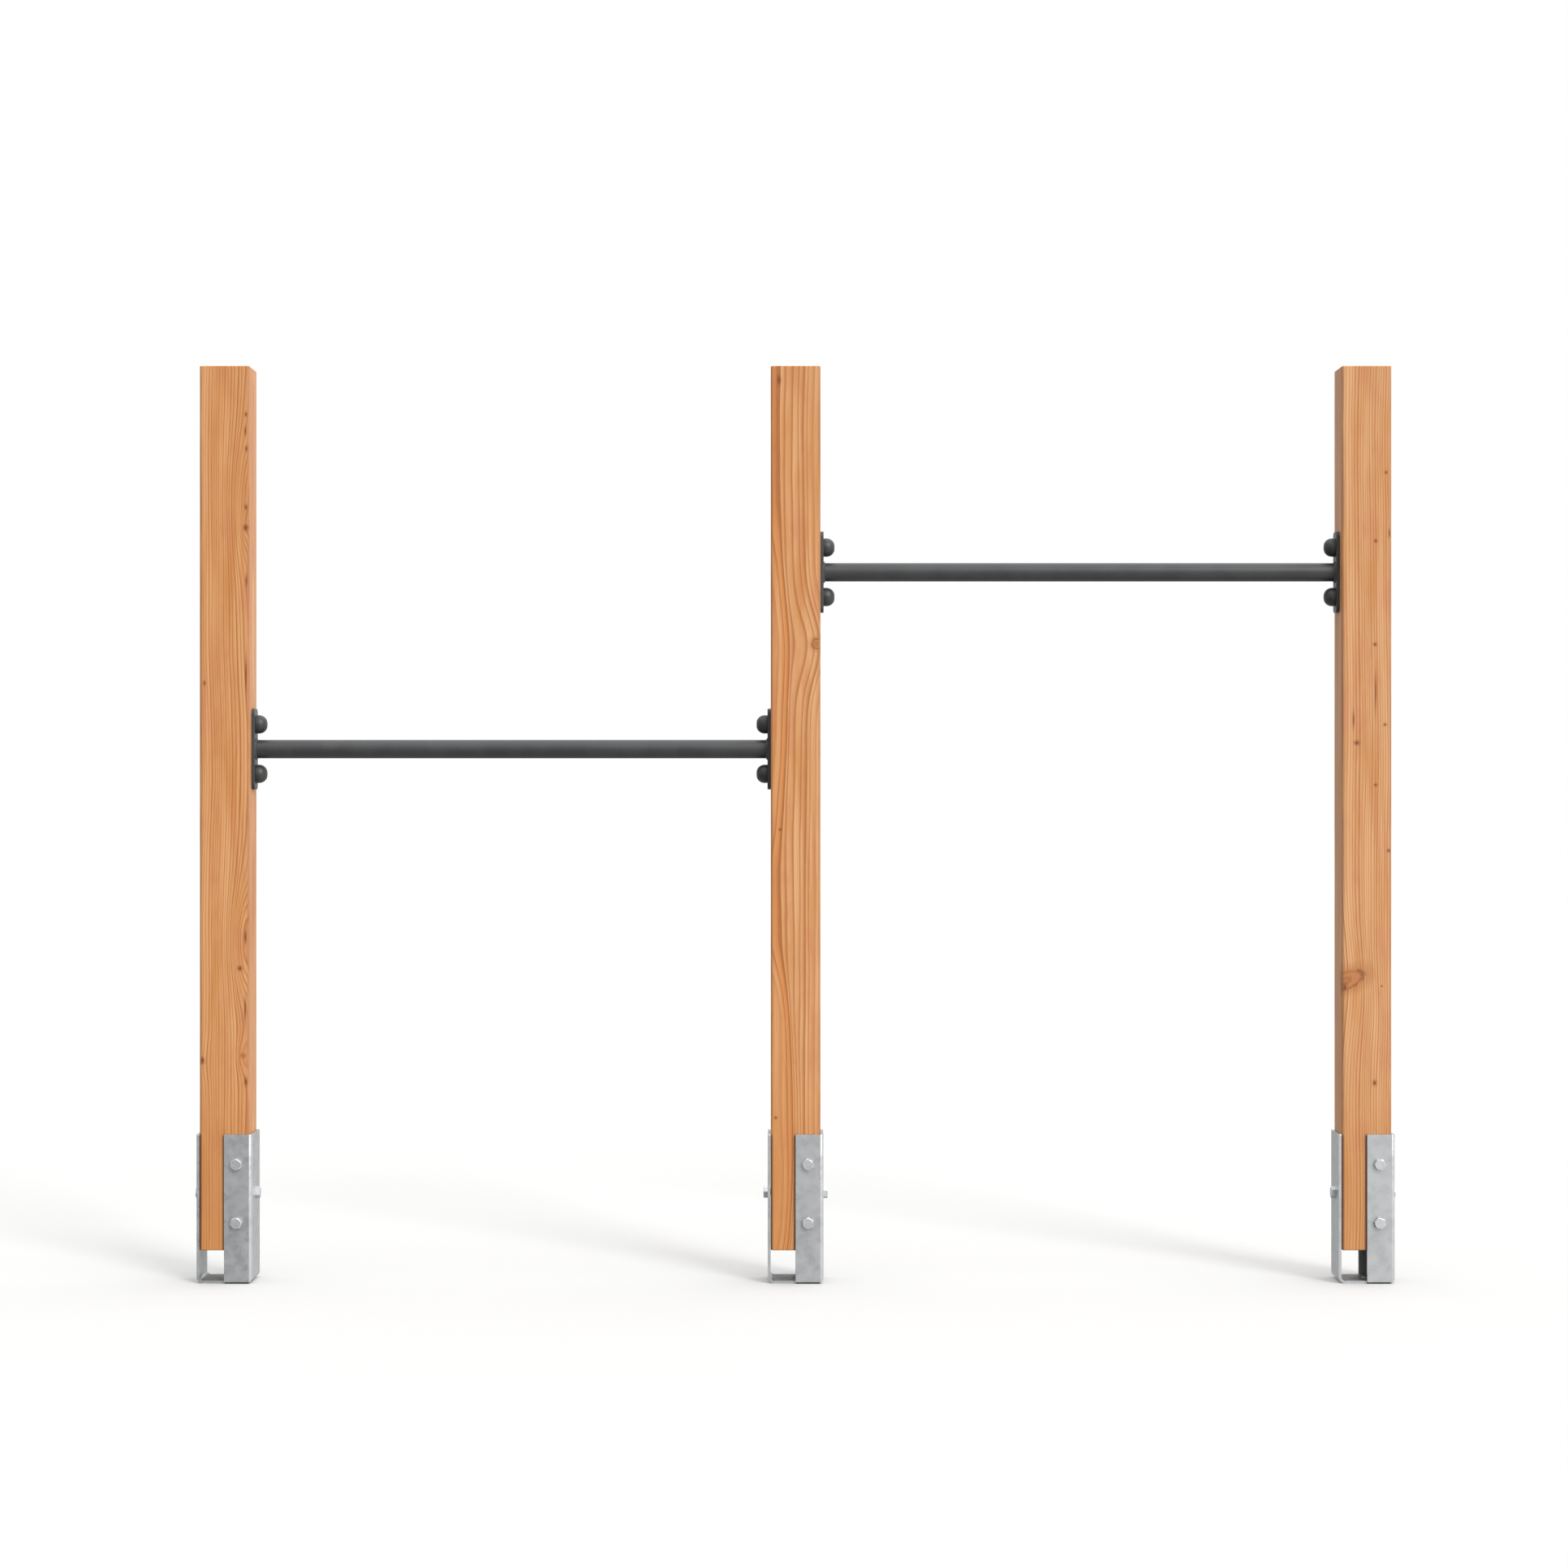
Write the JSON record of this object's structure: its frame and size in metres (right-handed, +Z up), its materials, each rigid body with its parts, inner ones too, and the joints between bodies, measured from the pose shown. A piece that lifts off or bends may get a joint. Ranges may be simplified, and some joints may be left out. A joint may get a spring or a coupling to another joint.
{
  "type": "pull up bar",
  "caption": "Outdoor pull-up frame: square timber posts in folded galvanised feet, joined by a low and a high steel bar with capped flange plates.",
  "frame": {"origin": "on the floor, in the middle of the middle post's foot", "axes": "+X along the bars from the low one towards the high one, +Z up, -Y towards the side with the feet's open left halves in view"},
  "size_m": [2.183, 0.117, 1.66],
  "materials": {
    "timber": "planed, oiled, matt",
    "galvanised_foot": "hot-dip galvanised, dull with faint spangle",
    "galvanised_screw": "hot-dip galvanised, dull",
    "coated_steel": "anthracite powder coat, fine texture, satin",
    "cap_plastic": "moulded, satin",
    "zinc_plated_screw": "bright zinc"
  },
  "bodies": {
    "root": {"high_bar_left_lower_cap": "cap_plastic", "high_bar_left_lower_cap_washer": "cap_plastic", "high_bar_left_lower_screw": "zinc_plated_screw", "high_bar_left_plate": "coated_steel", "high_bar_left_upper_cap": "cap_plastic", "high_bar_left_upper_cap_washer": "cap_plastic", "high_bar_left_upper_screw": "zinc_plated_screw", "high_bar_right_lower_cap": "cap_plastic", "high_bar_right_lower_cap_washer": "cap_plastic", "high_bar_right_lower_screw": "zinc_plated_screw", "high_bar_right_plate": "coated_steel", "high_bar_right_upper_cap": "cap_plastic", "high_bar_right_upper_cap_washer": "cap_plastic", "high_bar_right_upper_screw": "zinc_plated_screw", "high_bar_tube": "coated_steel", "left_foot": "galvanised_foot", "left_foot_back_lower_screw": "galvanised_screw", "left_foot_back_upper_screw": "galvanised_screw", "left_foot_front_lower_screw": "galvanised_screw", "left_foot_front_upper_screw": "galvanised_screw", "left_foot_left_leg_screw": "galvanised_screw", "left_foot_right_leg_screw": "galvanised_screw", "left_post": "timber", "low_bar_left_lower_cap": "cap_plastic", "low_bar_left_lower_cap_washer": "cap_plastic", "low_bar_left_lower_screw": "zinc_plated_screw", "low_bar_left_plate": "coated_steel", "low_bar_left_upper_cap": "cap_plastic", "low_bar_left_upper_cap_washer": "cap_plastic", "low_bar_left_upper_screw": "zinc_plated_screw", "low_bar_right_lower_cap": "cap_plastic", "low_bar_right_lower_cap_washer": "cap_plastic", "low_bar_right_lower_screw": "zinc_plated_screw", "low_bar_right_plate": "coated_steel", "low_bar_right_upper_cap": "cap_plastic", "low_bar_right_upper_cap_washer": "cap_plastic", "low_bar_right_upper_screw": "zinc_plated_screw", "low_bar_tube": "coated_steel", "middle_foot": "galvanised_foot", "middle_foot_back_lower_screw": "galvanised_screw", "middle_foot_back_upper_screw": "galvanised_screw", "middle_foot_front_lower_screw": "galvanised_screw", "middle_foot_front_upper_screw": "galvanised_screw", "middle_foot_left_leg_screw": "galvanised_screw", "middle_foot_right_leg_screw": "galvanised_screw", "middle_post": "timber", "right_foot": "galvanised_foot", "right_foot_back_lower_screw": "galvanised_screw", "right_foot_back_upper_screw": "galvanised_screw", "right_foot_front_lower_screw": "galvanised_screw", "right_foot_front_upper_screw": "galvanised_screw", "right_foot_left_leg_screw": "galvanised_screw", "right_foot_right_leg_screw": "galvanised_screw", "right_post": "timber"}
  },
  "joints": []
}
